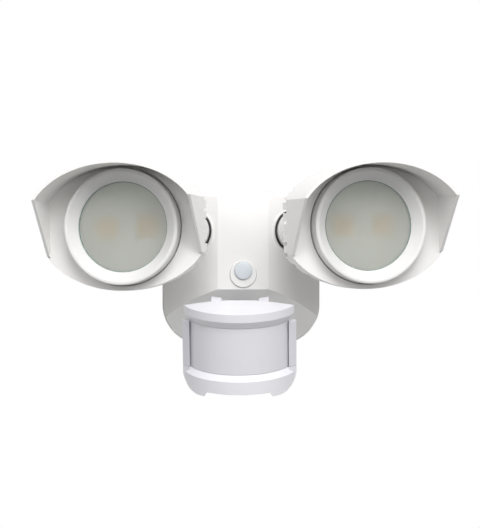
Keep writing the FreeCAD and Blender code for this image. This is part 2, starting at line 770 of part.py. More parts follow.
def fork_shape():
    """Two cheeks and the bridge behind them, around the tilt pivot."""
    half = "(lug_width / 2 + cheek_gap + cheek_width)"
    inner = "(lug_width / 2 + cheek_gap)"
    shapes = [block((f"2 * {half}", "2 * lug_radius", "bridge_thick"),
                    (f"-{half}", "-lug_radius", "-bridge_back"))]
    for low in (f"-{half}", inner):
        shapes.append(rod("lug_radius", "cheek_width", (low, 0, 0), ALONG_X))
        shapes.append(block(("cheek_width", "2 * lug_radius", "bridge_back"),
                            (low, "-lug_radius", "-bridge_back")))
    hole = rod("bolt_radius + running_gap / 2", f"4 * {half}", (f"-2 * {half}", 0, 0), ALONG_X)
    return cut(fuse(*shapes), hole)


def hood_outline(inset, low, high):
    """The lamp head's outline, an ellipse with flat sides, from one height to another."""
    ellipse = doc.addObject("Part::Ellipse", "Ellipse")
    bind(ellipse, MajorRadius=f"hood_half_width - ({inset})", MinorRadius=f"hood_half_height - ({inset})")
    form = doc.addObject("Part::Extrusion", "Form")
    form.Base = ellipse
    form.DirMode = "Custom"
    form.Dir = FreeCAD.Vector(0, 0, 1)
    form.Solid = True
    bind(form, LengthFwd=f"({high}) - ({low})")
    put(form, (0, 0, low))
    half = f"(hood_flat - ({inset}))"
    sides = block((f"2 * {half}", "4 * hood_half_height", f"({high}) - ({low})"),
                  (f"-{half}", "-2 * hood_half_height", low))
    return common(form, sides)


def head_post_places():
    places = []
    for across in (-1, 1):
        for up in (-1, 1):
            places.append((f"{across} * head_post_x", f"{up} * fin_pitch"))
    return places


def shroud(name, frame):
    """The front of the head in one piece: a face plate, a hood over it and a short skirt behind."""
    corner = "(hood_half_height * sqrt(1 - (hood_flat / hood_half_width)^2))"
    whole = hood_outline("0", "-skirt_depth", "hood_depth")
    inside = hood_outline("hood_wall", "0", "hood_depth + overlap")
    behind = hood_outline("hood_wall", "-skirt_depth - overlap", "-face_thick")
    open_front = prism("YZ_Plane", [
        (corner, "hood_depth"),
        (corner, "2 * hood_depth"),
        ("-2 * hood_half_height", "2 * hood_depth"),
        ("-2 * hood_half_height", 0),
        (f"-{corner}", 0),
        (f"-{corner}", "hood_step"),
    ], "4 * hood_half_width")
    opening = rod("bezel_radius + bezel_gap", "2 * face_thick", (0, 0, "-1.5 * face_thick"))
    shell = cut(whole, inside, behind, open_front, opening)
    posts = [rod("head_post_radius", "skirt_depth - face_thick + overlap", (x, y, "-skirt_depth"))
             for x, y in head_post_places()]
    holes = [rod("small_screw_radius + screw_clearance", "skirt_depth - face_thick",
                 (x, y, "-skirt_depth - overlap"))
             for x, y in head_post_places()]
    piece(name, cut(fuse(shell, *posts), *holes), frame)


def heat_sink(name, side, frame):
    """The ribbed rear housing: level fins, a round collar for the lamp parts, and the tilt lug."""
    rear = "(skirt_depth + sink_depth)"
    core = hood_outline("sink_inset", f"-{rear}", "-skirt_depth")
    collar = rod("bezel_radius + collar_step", "skirt_depth - face_thick - fit_gap + overlap",
                 (0, 0, "-skirt_depth - overlap"))
    slots = []
    for step in range(-5, 5):
        middle = f"({step} + 0.5) * fin_pitch"
        slots.append(block(("3 * hood_half_width", "fin_gap", "fin_cut + overlap"),
                           ("-1.5 * hood_half_width", f"{middle} - fin_gap / 2", f"-{rear} - overlap")))
        for low in ("-hood_flat - hood_half_width + side_fin_depth", "hood_flat - side_fin_depth"):
            slots.append(block(("hood_half_width", "fin_gap", "sink_depth"),
                               (low, f"{middle} - fin_gap / 2", f"-{rear} - overlap")))
    fins = cut(bevelled(core, "sink_taper", rear), *slots)
    offset = f"{-side} * head_side"
    lug = rod("lug_radius", "lug_width", (f"{offset} - lug_width / 2", 0, "-head_reach"), ALONG_X)
    web = block(("lug_width", "2 * lug_radius", f"head_reach - {rear} + overlap"),
                (f"{offset} - lug_width / 2", "-lug_radius", "-head_reach"))
    root = block(("2 * lug_width", "3.4 * lug_radius", "fin_cut + lug_pad_proud"),
                 (f"{offset} - lug_width", "-1.7 * lug_radius", f"-{rear} - lug_pad_proud"))
    cavity = rod("cavity_radius", "sink_depth", (0, 0, "-skirt_depth - cavity_depth"))
    cuts = [cavity, rod("bolt_radius + running_gap", "6 * lug_width",
                        (f"{offset} - 3 * lug_width", 0, "-head_reach"), ALONG_X)]
    for x, y in head_post_places():
        cuts.append(rod("small_screw_radius + screw_clearance", f"{rear}", (x, y, f"-{rear}")))
        cuts.append(rod("2 * small_screw_radius + fit_gap", f"{rear}",
                        (x, y, f"-skirt_depth - head_screw_sink - {rear}")))
    piece(name, cut(fuse(fins, collar, lug, web, root), *cuts), frame)


def bevelled(base, size_name, rear):
    """Bevels the rear edge of a head's outline."""
    doc.recompute()
    size = getattr(sheet, size_name)
    depth = sheet.skirt_depth + sheet.sink_depth
    item = doc.addObject("Part::Chamfer", "Bevelled")
    item.Base = base
    edges = []
    for number, edge in enumerate(base.Shape.Edges, start=1):
        if abs(edge.BoundBox.ZMax + depth) < 0.01:
            edges.append((number, size, size))
    item.Edges = edges
    return item


def lamp(side_name, frame):
    """The optics in front of the heat sink, from the LED board to the bezel."""
    floor = "(-skirt_depth - cavity_depth)"
    glass_back = "(glass_front - glass_thick)"
    board = rod("led_board_radius", "board_thick", (0, 0, floor))
    piece(f"{side_name}_led_board", board, frame)
    chips = []
    for across in (-1, 1):
        chips.append(block(("led_size", "led_size", "led_thick"),
                           (f"{across} * led_spacing / 2 - led_size / 2", "-led_size / 2",
                            f"{floor} + board_thick")))
    piece(f"{side_name}_led_modules", group(*chips), frame)
    low = f"({floor} + board_thick)"
    top = f"({glass_back} - lens_gasket)"
    reflector = turned([
        ("reflector_hole", low),
        ("reflector_hole + reflector_wall", low),
        ("glass_edge + reflector_wall", f"{top} - reflector_wall"),
        ("glass_radius - fit_gap", f"{top} - reflector_wall"),
        ("glass_radius - fit_gap", top),
        ("glass_edge", top),
    ])
    piece(f"{side_name}_reflector", reflector, frame)
    gasket = cut(rod("glass_radius", "lens_gasket", (0, 0, top)),
                 rod("glass_edge + bezel_lip", "3 * lens_gasket", (0, 0, f"{top} - lens_gasket")))
    piece(f"{side_name}_glass_gasket", gasket, frame)
    piece(f"{side_name}_glass", rod("glass_radius", "glass_thick", (0, 0, glass_back)), frame)
    seat = "(-face_thick - fit_gap)"
    bezel = turned([
        ("glass_radius + fit_gap", seat),
        ("bezel_radius", seat),
        ("bezel_radius", "bezel_height"),
        ("bezel_radius - bezel_crest", "bezel_height"),
        ("glass_edge", "glass_front + bezel_lip"),
        ("glass_edge", "glass_front"),
        ("glass_radius + fit_gap", "glass_front"),
    ])
    piece(f"{side_name}_bezel", rounded(bezel, "bezel_round", is_crest), frame)
    screws = []
    for x, y in head_post_places():
        screws.append(screw("2 * head_screw_sink", "small_screw_radius",
                            (x, y, "-skirt_depth - head_screw_sink"),
                            rotation("x", 180)))
    piece(f"{side_name}_head_screws", group(*screws), frame)


def is_crest(edge):
    """The two circles at the top of the bezel."""
    box = edge.BoundBox
    return abs(box.ZMin - sheet.bezel_height) < 0.01 and box.XLength > sheet.glass_edge


def head(side_name, side):
    arm_parts(side_name, side)
    frame = head_frame(side)
    heat_sink(f"{side_name}_heat_sink", side, frame)
    shroud(f"{side_name}_shroud", frame)
    lamp(side_name, frame)


# Motion sensor

def pan_frame():
    """The sensor arm's frame: Z is the pan axis, the origin is at the wall end of the axis."""
    return frame_at(0, sheet.pan_setback - sheet.cover_depth, 0, rotation("z", sheet.pan_rest))


def sensor_frame():
    """The sensor's own frame at its tilt pivot."""
    move = frame_at(0, -sheet.sensor_pivot_out, -sheet.sensor_pivot_drop,
                    rotation("x", sheet.sensor_tilt_rest))
    return pan_frame().multiply(move)


def sensor_arm():
    """A disc under the housing, a short neck and the barrel of the sensor's tilt knuckle."""
    frame = pan_frame()
    disc_low = f"({PAN_LOW} - seal_gap - pan_disc_thick)"
    disc = rod("pan_boss_radius - overlap", "pan_disc_thick", (0, 0, disc_low))
    nut_low = "(pan_seat + seal_gap)"
    stem_top = f"({nut_low} + flange_nut_edge + pan_nut_thick)"
    stem = rod("pan_stem_radius", f"{stem_top} - {disc_low}", (0, 0, disc_low))
    pivot = ("-sensor_pivot_out", "-sensor_pivot_drop")
    barrel = rod("sensor_knuckle_radius", "2 * knuckle_half", ("-knuckle_half", *pivot), ALONG_X)
    base = block(("sensor_arm_width", "sensor_pivot_out - sensor_arm_rise / 2", "pan_disc_thick"),
                 ("-sensor_arm_width / 2", "-sensor_pivot_out + sensor_arm_rise / 2", disc_low))
    rise = block(("sensor_arm_width", "sensor_arm_rise", f"-sensor_pivot_drop - {disc_low}"),
                 ("-sensor_arm_width / 2", "-sensor_pivot_out + sensor_arm_back", disc_low))
    hole = rod("sensor_bolt_radius + running_gap", "4 * knuckle_half", ("-2 * knuckle_half", *pivot),
               ALONG_X)
    piece("sensor_arm", cut(fuse(disc, stem, barrel, base, rise), hole), frame)
    nut = fuse(hexagon("1.5 * pan_stem_radius", "flange_nut_edge + pan_nut_thick", (0, 0, nut_low)),
               rod("1.8 * pan_stem_radius", "flange_nut_edge", (0, 0, nut_low)))
    bore = rod("pan_stem_radius + running_gap / 2", "4 * pan_nut_thick", (0, 0, f"{nut_low} - overlap"))
    piece("sensor_arm_nut", cut(nut, bore), frame)


def front_drum(inset, low, high):
    """The round front of the sensor, from one height to another."""
    return rod(f"front_radius - ({inset})", f"({high}) - ({low})", (0, "-front_centre", low))


def rear_drum(inset, low, high):
    return rod(f"rear_radius - ({inset})", f"({high}) - ({low})", (0, "-rear_apex - rear_radius", low))


def sensor_cap(frame):
    """The lid of the sensor, pointed at both sides, with a chamfer below its band."""
    low = "(cap_top - cap_band - cap_chamfer)"
    band_low = "(cap_top - cap_band)"
    band = common(front_drum("0", band_low, "cap_top"), rear_drum("0", band_low, "cap_top"))
    front = taper("front_radius - cap_inset", "front_radius", "cap_chamfer", (0, "-front_centre", low))
    rear = taper("rear_radius - cap_inset", "rear_radius", "cap_chamfer",
                 (0, "-rear_apex - rear_radius", low))
    hollow = common(front_drum("cap_inset + cap_wall", f"{low} - overlap", "cap_top - cap_wall"),
                    rear_drum("cap_inset + cap_wall", f"{low} - overlap", "cap_top - cap_wall"))
    solid = fuse(band, common(front, rear))
    piece("sensor_cap", cut(solid, hollow), frame)


def side_posts(low, high):
    """The two posts beside the lens, as one bar across the sensor whose ends slant back."""
    inner = "(lens_half + fit_gap)"
    bar = prism("XY_Plane", [
        ("-case_half", "-post_back"),
        ("-case_half", "-post_shoulder"),
        (f"-{inner}", "-case_front"),
        (inner, "-case_front"),
        ("case_half", "-post_shoulder"),
        ("case_half", "-post_back"),
    ], "4 * tray_bottom")
    tall = f"({high}) - ({low})"
    return common(bar, block(("4 * case_half", "4 * case_half", tall),
                             ("-2 * case_half", "-4 * case_half", low)))


def sensor_case(frame):
    """The rear of the sensor: back wall, side posts beside the lens, and two ears on the tilt bolt."""
    top = "(cap_top - cap_band - cap_chamfer - fit_gap)"
    low = "(cap_top - cap_band - cap_chamfer - lens_height)"
    height = f"({top} - {low})"
    shell = common(rear_drum("0", low, top),
                   block(("2 * case_half", "post_shoulder", height), ("-case_half", "-post_shoulder", low)))
    outer = fuse(shell, side_posts(low, top))
    opening = block(("2 * (lens_half + fit_gap)", "2 * case_front", f"{height} + 2 * overlap"),
                    ("-lens_half - fit_gap", "-2 * case_front", f"{low} - overlap"))
    inner = common(rear_drum("case_wall", f"{low} - overlap", f"{top} + overlap"), opening)
    ears = []
    for side in SIDES.values():
        ears.append(taper("ear_radius - ear_taper", "ear_radius", "ear_outer - ear_inner",
                          (f"{side} * ear_inner", 0, 0), rotation("y", side * 90)))
        ears.append(block(("ear_outer - ear_inner", "rear_apex + ear_root",
                           f"ear_radius - ear_taper + {top}"),
                          (f"{side} * (ear_inner + ear_outer) / 2 - (ear_outer - ear_inner) / 2",
                           "-rear_apex - ear_root", "-ear_radius + ear_taper")))
    pegs = []
    tubes = []
    holes = []
    for side in SIDES.values():
        pegs.append(rod("board_peg_radius", "sensor_board_y - rear_apex - 2 * case_wall + ear_root",
                        (f"{side} * board_peg_x", "-sensor_board_y", "-detector_drop"), ALONG_Y))
        x = f"{side} * sensor_screw_x"
        tubes.append(rod("small_screw_radius + screw_tube_wall", "screw_tube_length",
                         (x, "-sensor_screw_y", low)))
        holes.append(rod("small_screw_radius + screw_clearance", "screw_tube_length - overlap",
                         (x, "-sensor_screw_y", f"{low} - overlap")))
    bolt = rod("sensor_bolt_radius + running_gap / 2", "4 * ear_outer", ("-2 * ear_outer", 0, 0), ALONG_X)
    piece("sensor_case", cut(fuse(cut(outer, inner), *ears, *pegs, *tubes), bolt, *holes), frame)


def fresnel_lens(frame):
    """The curved window: a bent sheet held between the side posts."""
    low = "(cap_top - cap_band - cap_chamfer - lens_height)"
    top = "(cap_top - cap_band - cap_chamfer - fit_gap)"
    height = f"{top} - {low}"
    edge = "(rear_apex + rear_radius - sqrt((rear_radius - case_wall)^2 - lens_half^2) + fit_gap)"
    sheet_form = cut(rod("lens_radius", height, (0, "-front_centre", low)),
                     rod("lens_radius - lens_thick", f"{height} + 2 * overlap",
                         (0, "-front_centre", f"{low} - overlap")))
    window = block(("2 * lens_half", "lens_radius", height), ("-lens_half", f"-{edge} - lens_radius", low))
    piece("fresnel_lens", common(sheet_form, window), frame)


def tray_form(inset, low, high, *added):
    """The bottom tray's form with its rounded lower corners, made smaller by an inset."""
    half = f"(case_half - ({inset}))"
    corner = f"(tray_round - ({inset}))"
    bottom = f"({low})"
    width = f"2 * {half}"
    drums = common(front_drum(inset, bottom, high), rear_drum(inset, bottom, high))
    whole = fuse(drums, *added) if added else drums
    tall = f"({high}) - {bottom}"
    deep = "2 * front_radius"
    shapes = [
        block((width, deep, f"{tall} - {corner}"), (f"-{half}", f"-{deep}", f"{bottom} + {corner}")),
        block((f"{width} - 2 * {corner}", deep, tall), (f"-{half} + {corner}", f"-{deep}", bottom)),
    ]
    for side in SIDES.values():
        at = (f"{side} * ({half} - {corner})", f"-{deep}", f"{bottom} + {corner}")
        shapes.append(rod(corner, deep, at, ALONG_Y))
    return common(whole, fuse(*shapes))


def knob_places():
    return [(f"{index} * knob_spacing", "-knob_forward") for index in (-1, 0, 1)]


def sensor_tray(frame):
    """The chin under the lens, with a flat recess for the knobs between two feet."""
    top = "(cap_top - cap_band - cap_chamfer - lens_height - fit_gap)"
    lip_low = f"({top} - tray_lip)"
    body = tray_form("0", "-tray_bottom", lip_low, side_posts("-tray_bottom", lip_low))
    front = taper("front_radius", "front_radius - cap_inset", "tray_lip", (0, "-front_centre", lip_low))
    lip = fuse(common(front, rear_drum("0", lip_low, top)), side_posts(lip_low, top))
    floor = "(-tray_bottom + recess_depth)"
    room = block(("4 * case_half", "4 * case_half", "tray_bottom"),
                 ("-2 * case_half", "-3 * case_half", f"{floor} + case_wall"))
    hollow = common(tray_form("case_wall", "-tray_bottom + case_wall", f"{lip_low} + case_wall"), room)
    mouth = common(front_drum("cap_inset + case_wall", lip_low, f"{top} + overlap"),
                   rear_drum("case_wall + overlap", lip_low, f"{top} + overlap"))
    recess = prism("XZ_Plane", [
        ("-recess_half", floor),
        ("recess_half", floor),
        ("recess_half + foot_slope", "-tray_bottom - overlap"),
        ("-recess_half - foot_slope", "-tray_bottom - overlap"),
    ], "4 * front_radius")
    tubes = []
    pegs = []
    holes = []
    for side in SIDES.values():
        x = f"{side} * sensor_screw_x"
        tubes.append(rod("2 * small_screw_radius + screw_tube_wall", "tray_bottom",
                         (x, "-sensor_screw_y", "-tray_bottom")))
        pegs.append(rod("board_peg_radius", f"-control_board_drop - {floor}",
                        (f"{side} * board_peg_x", "-knob_forward", floor)))
        holes.append(rod("small_screw_radius + screw_clearance", "tray_bottom",
                         (x, "-sensor_screw_y", "-tray_bottom")))
        holes.append(rod("2 * small_screw_radius + fit_gap", "2 * sensor_screw_sink",
                         (x, "-sensor_screw_y", "-tray_bottom - sensor_screw_sink")))
    kept = common(fuse(*tubes), tray_form("fit_gap", "-tray_bottom", top))
    knob_holes = [rod("knob_radius + knob_gap", "2 * recess_depth + 2 * case_wall",
                      (x, y, "-tray_bottom - overlap"))
                  for x, y in knob_places()]
    solid = cut(fuse(body, lip), hollow, mouth)
    piece("sensor_tray", cut(fuse(solid, kept, *pegs), recess, *knob_holes, *holes), frame)


def sensor_electronics(frame):
    """The upright board with its infrared detector, and the control board with its potentiometers."""
    board_front = "(-sensor_board_y - board_thick)"
    piece("sensor_board", block(("sensor_board_width", "board_thick", "sensor_board_height"),
                                ("-sensor_board_width / 2", board_front, "-sensor_board_drop")), frame)
    can = rod("detector_radius", "detector_height", (0, board_front, "-detector_drop"), TO_FRONT)
    window = block(("detector_radius", "overlap / 2", "detector_radius / 1.5"),
                   ("-detector_radius / 2", f"{board_front} - detector_height - overlap / 3",
                    "-detector_drop - detector_radius / 3"))
    piece("infrared_detector", fuse(can, window), frame)
    piece("control_board", block(("control_board_width", "control_board_depth", "board_thick"),
                                 ("-control_board_width / 2", "-knob_forward - control_board_depth / 2",
                                  "-control_board_drop")), frame)
    pots = []
    for x, y in knob_places():
        low = "(-control_board_drop - pot_height)"
        case = block(("pot_size", "pot_size", "pot_height"),
                     (f"{x} - pot_size / 2", f"{y} - pot_size / 2", low))
        pots.append(cut(case, rod("knob_shaft + running_gap", "pot_height", (x, y, f"{low} - overlap"))))
    piece("potentiometers", group(*pots), frame)


def knobs(frame):
    """Three small knobs, each with a pointer slot, on shafts in the potentiometers."""
    low = "(-tray_bottom + recess_depth - knob_proud)"
    shaft_top = "(-control_board_drop - pot_height / 2)"
    for name, (x, y) in zip(("time_knob", "range_knob", "light_knob"), knob_places()):
        cap = rod("knob_radius", "knob_height", (x, y, low))
        slot = block(("1.5 * knob_radius", "knob_slot", "knob_slot"),
                     (f"{x} - 0.75 * knob_radius", f"{y} - knob_slot / 2", f"{low} - knob_slot / 4"))
        shaft = rod("knob_shaft", f"{shaft_top} - {low}", (x, y, low))
        piece(name, cut(fuse(cap, shaft), slot), frame)


def sensor_fasteners(frame):
    half = "ear_outer"
    tail = f"({half} + sensor_nut_thick + overlap)"
    shank = rod("sensor_bolt_radius", f"{tail} + {half}", (f"-{tail}", 0, 0), ALONG_X)
    bolt_head = taper("2 * sensor_bolt_radius", "1.5 * sensor_bolt_radius", "sensor_bolt_head",
                      (half, 0, 0), ALONG_X)
    piece("sensor_tilt_bolt", fuse(shank, bolt_head), frame)
    nut = cut(hexagon("1.8 * sensor_bolt_radius", "sensor_nut_thick", (f"-{half} - sensor_nut_thick", 0, 0),
                      ALONG_X),
              rod("sensor_bolt_radius + running_gap / 2", f"4 * {half}", (f"-2 * {half}", 0, 0), ALONG_X))
    piece("sensor_tilt_nut", nut, frame)
    screws = [screw("sensor_screw_length", "small_screw_radius",
                    (f"{side} * sensor_screw_x", "-sensor_screw_y", "-tray_bottom + sensor_screw_sink"),
                    rotation("x", 180)) for side in SIDES.values()]
    piece("sensor_screws", group(*screws), frame)


def sensor():
    sensor_arm()
    frame = sensor_frame()
    sensor_cap(frame)
    sensor_case(frame)
    fresnel_lens(frame)
    sensor_tray(frame)
    sensor_electronics(frame)
    knobs(frame)
    sensor_fasteners(frame)


def check_and_write():
    """Stops if any object failed, then writes one file for each sub-part."""
    doc.recompute()
    for item in doc.Objects:
        if "Invalid" in item.State or "Error" in item.State:
            raise RuntimeError(f"{item.Name} {item.Label} failed: {item.State}")
    for item in pieces:
        if item.Shape.isNull() or not item.Shape.isValid() or not item.Shape.Solids:
            raise RuntimeError(f"{item.Label} has no valid shape")
    os.makedirs("parts", exist_ok=True)
    for item in pieces:
        item.Shape.exportStep(f"parts/{item.Label}.step")
        box = item.Shape.BoundBox
        print(f"{item.Label:22} solids {len(item.Shape.Solids)} volume {item.Shape.Volume:9.1f}"
              f" x {box.XMin:7.1f} {box.XMax:7.1f} y {box.YMin:7.1f} {box.YMax:7.1f}"
              f" z {box.ZMin:7.1f} {box.ZMax:7.1f}")
    print(len(pieces), "sub-parts")


front_cover()
mounting_plate()
housing_hardware()
back_plate()
driver()
photocell()
for side_name, side in SIDES.items():
    head(side_name, side)
sensor()
check_and_write()
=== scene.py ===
"""Looks for the motion sensor security light: finishes, details, light and camera, in metres."""
from math import cos, pi, radians, sin

import bmesh
import bpy
from mathutils import Matrix, Vector


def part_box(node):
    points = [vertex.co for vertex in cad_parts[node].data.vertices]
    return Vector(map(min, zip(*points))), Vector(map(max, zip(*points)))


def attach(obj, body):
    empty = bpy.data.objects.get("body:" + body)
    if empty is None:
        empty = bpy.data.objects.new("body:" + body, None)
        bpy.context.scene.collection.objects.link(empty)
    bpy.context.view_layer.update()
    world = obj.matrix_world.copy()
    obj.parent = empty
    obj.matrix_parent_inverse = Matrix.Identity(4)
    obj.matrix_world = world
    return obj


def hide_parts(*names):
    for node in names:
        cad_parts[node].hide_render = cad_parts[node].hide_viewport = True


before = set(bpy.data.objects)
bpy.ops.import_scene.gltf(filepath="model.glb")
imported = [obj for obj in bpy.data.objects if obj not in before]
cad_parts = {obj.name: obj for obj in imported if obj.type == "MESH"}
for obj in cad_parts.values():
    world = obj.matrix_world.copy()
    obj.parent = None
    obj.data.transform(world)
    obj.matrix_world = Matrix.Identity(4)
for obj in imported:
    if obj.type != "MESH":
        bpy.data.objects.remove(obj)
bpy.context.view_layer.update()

EDGE_SAMPLES = 8  # rays that round off an edge in a finish
SMALL_EDGE = 0.0002  # the edge radius of small parts
TURNED_STEPS = 160  # steps round a turned piece
LAMP_TARGET = (0, -0.05, 0.02)


# Node helpers
def srgb(red, green, blue):
    """A colour picked as 0 to 255 values, as the linear colour a shader takes."""
    def line(value):
        value /= 255
        return value / 12.92 if value <= 0.04045 else ((value + 0.055) / 1.055) ** 2.4
    return (line(red), line(green), line(blue), 1.0)


def shade(colour, factor):
    """The same colour, lighter or darker."""
    return tuple(min(part * factor, 1.0) for part in colour[:3]) + (1.0,)


class Finish:
    """A procedural material: a shader, and the nodes behind its colour, roughness and relief."""

    def __init__(self, name, colour, roughness, metallic=0.0):
        self.material = bpy.data.materials.new(name)
        self.material.use_nodes = True
        self.nodes = self.material.node_tree.nodes
        self.links = self.material.node_tree.links
        self.shader = self.nodes["Principled BSDF"]
        self.place = self.nodes.new("ShaderNodeTexCoord").outputs["Object"]
        self.colour = colour
        self.relief = None
        self.shader.inputs["Base Color"].default_value = colour
        self.shader.inputs["Roughness"].default_value = roughness
        self.shader.inputs["Metallic"].default_value = metallic
        self.material.diffuse_color = colour

    def set(self, **values):
        """Numbers and colours on the shader's own sockets."""
        for name, value in values.items():
            self.shader.inputs[name.replace("_", " ")].default_value = value
        return self

    def stretched(self, scale):
        """The object's coordinates, stretched along its axes."""
        node = self.nodes.new("ShaderNodeMapping")
        node.inputs["Scale"].default_value = scale
        self.links.new(self.place, node.inputs["Vector"])
        return node.outputs["Vector"]

    def noise(self, scale, detail=3.0, place=None):
        """A noise texture's value, with its scale in waves a metre."""
        node = self.nodes.new("ShaderNodeTexNoise")
        node.inputs["Scale"].default_value = scale
        node.inputs["Detail"].default_value = detail
        self.links.new(place or self.place, node.inputs["Vector"])
        return node.outputs["Fac"]

    def remap(self, value, low, high, start=0.3, end=0.7):
        """A value stretched onto another range."""
        node = self.nodes.new("ShaderNodeMapRange")
        node.inputs["From Min"].default_value = start
        node.inputs["From Max"].default_value = end
        node.inputs["To Min"].default_value = low
        node.inputs["To Max"].default_value = high
        self.links.new(value, node.inputs["Value"])
        return node.outputs["Result"]

    def tint(self, value, first, second):
        """The base colour runs from one colour to the other as the value goes from 0 to 1."""
        node = self.nodes.new("ShaderNodeMix")
        node.data_type = "RGBA"
        node.inputs["A"].default_value = first
        node.inputs["B"].default_value = second
        self.links.new(value, node.inputs["Factor"])
        self.links.new(node.outputs["Result"], self.shader.inputs["Base Color"])
        return self

    def mottle(self, scale, amount):
        """Broad, faint changes of tone."""
        cloud = self.remap(self.noise(scale, 4.0), 0.0, 1.0)
        return self.tint(cloud, shade(self.colour, 1 - amount), shade(self.colour, 1 + amount))

    def gloss(self, scale, low, high):
        """Roughness that wanders between two values."""
        wander = self.remap(self.noise(scale, 5.0), low, high)
        self.links.new(wander, self.shader.inputs["Roughness"])
        return self

    def bump(self, value, depth, strength=0.5):
        """Relief of a depth in metres, on top of the relief so far."""
        node = self.nodes.new("ShaderNodeBump")
        node.inputs["Strength"].default_value = strength
        node.inputs["Distance"].default_value = depth
        self.links.new(value, node.inputs["Height"])
        if self.relief:
            self.links.new(self.relief, node.inputs["Normal"])
        self.relief = node.outputs["Normal"]
        self.links.new(self.relief, self.shader.inputs["Normal"])
        return self

    def soften(self, radius):
        """Edges catch the light as if rounded to a radius."""
        node = self.nodes.new("ShaderNodeBevel")
        node.samples = EDGE_SAMPLES
        node.inputs["Radius"].default_value = radius
        self.relief = node.outputs["Normal"]
        self.links.new(self.relief, self.shader.inputs["Normal"])
        return self


def moulded(name, colour, roughness, grain=1500, depth=0.00002, edge=0.0004, specular=0.3):
    """Moulded plastic: a fine spark-eroded grain, faint tone changes, softened edges."""
    finish = Finish(name, colour, roughness).set(Specular_IOR_Level=specular)
    finish.soften(edge).mottle(22, 0.012)
    finish.gloss(60, roughness - 0.05, roughness + 0.06)
    return finish.bump(finish.noise(grain, 2.0), depth, 0.35)


def metal(name, colour, roughness, brush):
    """Plated or bare metal, with a surface brushed across the axis of the largest scale."""
    finish = Finish(name, colour, roughness, metallic=1.0).soften(SMALL_EDGE).mottle(60, 0.08)
    streaks = finish.noise(900, 3.0, finish.stretched(brush))
    polish = finish.remap(streaks, roughness - 0.08, roughness + 0.1)
    finish.links.new(polish, finish.shader.inputs["Roughness"])
    return finish.bump(streaks, 0.00002, 0.4)


def board(name, colour):
    """A circuit board: solder mask over faint tracks."""
    finish = Finish(name, colour, 0.38).soften(SMALL_EDGE)
    tracks = finish.nodes.new("ShaderNodeTexBrick")
    tracks.inputs["Scale"].default_value = 90
    tracks.inputs["Color1"].default_value = shade(colour, 1.25)
    tracks.inputs["Color2"].default_value = colour
    tracks.inputs["Mortar"].default_value = shade(colour, 0.6)
    tracks.inputs["Mortar Size"].default_value = 0.03
    finish.links.new(finish.place, tracks.inputs["Vector"])
    finish.links.new(tracks.outputs["Color"], finish.shader.inputs["Base Color"])
    return finish.bump(tracks.outputs["Fac"], 0.00003, 0.5).gloss(300, 0.3, 0.45)


# Finishes, by the record's slots
HOUSING = (0.88, 0.875, 0.86, 1)
HEAD = (0.87, 0.86, 0.845, 1)
SENSOR = (0.775, 0.77, 0.81, 1)
# Darker than SENSOR: painted shade for the case's posts, which turn away from the light.
CASE_PAINTED_SHADE = (0.69, 0.685, 0.735, 1)


def housing_white():
    return moulded("housing_white", HOUSING, 0.42)


def head_white():
    return moulded("head_white", HEAD, 0.55, specular=0.12)


def cast_white():
    """Powder-coated casting: an orange-peel skin."""
    finish = moulded("cast_white", HEAD, 0.5, grain=700, depth=0.00006)
    return finish.bump(finish.noise(260, 1.0), 0.00012, 0.3)


def bezel_white():
    return moulded("bezel_white", (0.765, 0.76, 0.75, 1), 0.34, depth=0.00001)


def lamp_glass():
    """Frosted glass with a faint green cast."""
    finish = Finish("lamp_glass", (0.73, 0.745, 0.705, 1), 0.36)
    finish.set(Transmission_Weight=0.72, IOR=1.5, Specular_IOR_Level=0.3)
    finish.mottle(35, 0.02)
    finish.gloss(500, 0.32, 0.42)
    return finish.bump(finish.noise(2500, 2.0), 0.00001, 0.3)


def sensor_white():
    return moulded("sensor_white", SENSOR, 0.34, depth=0.00001, edge=0.00025)


def lens_film():
    """Milky polyethylene. The real lens is ribbed on the inside by rows of small lens zones; these
    are not drawn, only a fine grain.
    """
    finish = Finish("lens_film", (0.72, 0.715, 0.75, 1), 0.38).soften(0.0003)
    finish.set(Subsurface_Weight=0.15, Subsurface_Radius=(1, 1, 1), Subsurface_Scale=0.0015)
    finish.mottle(40, 0.015)
    finish.gloss(120, 0.34, 0.44)
    return finish.bump(finish.noise(1800, 2.0), 0.00001, 0.3)


def window_white():
    """Milky polycarbonate with a cold cast."""
    finish = Finish("window_white", (0.72, 0.76, 0.80, 1), 0.4).soften(SMALL_EDGE)
    finish.set(Subsurface_Weight=0.6, Subsurface_Radius=(1, 1, 1), Subsurface_Scale=0.003)
    finish.set(Specular_IOR_Level=0.2)
    finish.mottle(90, 0.015)
    return finish.gloss(200, 0.36, 0.46)


def seal_black():
    finish = Finish("seal_black", (0.016, 0.016, 0.017, 1), 0.7).mottle(200, 0.2)
    finish.gloss(400, 0.6, 0.8)
    return finish.bump(finish.noise(1800, 3.0), 0.00004, 0.5)


def zinc_steel():
    return metal("zinc_steel", (0.60, 0.61, 0.62, 1), 0.34, (1, 1, 6))


def ground_green():
    finish = Finish("ground_green", (0.05, 0.34, 0.12, 1), 0.35).soften(SMALL_EDGE)
    finish.mottle(200, 0.06).gloss(300, 0.28, 0.45)
    return finish.bump(finish.noise(1500), 0.00002, 0.3)


def inner_grey():
    return moulded("inner_grey", (0.50, 0.51, 0.52, 1), 0.55)


def board_green():
    return board("board_green", (0.02, 0.17, 0.07, 1))


def board_metal():
    finish = Finish("board_metal", (0.86, 0.86, 0.84, 1), 0.4).soften(SMALL_EDGE).mottle(120, 0.02)
    return finish.gloss(400, 0.34, 0.46).bump(finish.noise(1200), 0.00001, 0.3)


def led_phosphor():
    finish = Finish("led_phosphor", srgb(240, 186, 60), 0.3).mottle(400, 0.06)
    return finish.gloss(500, 0.25, 0.4).bump(finish.noise(2000), 0.00002, 0.4)


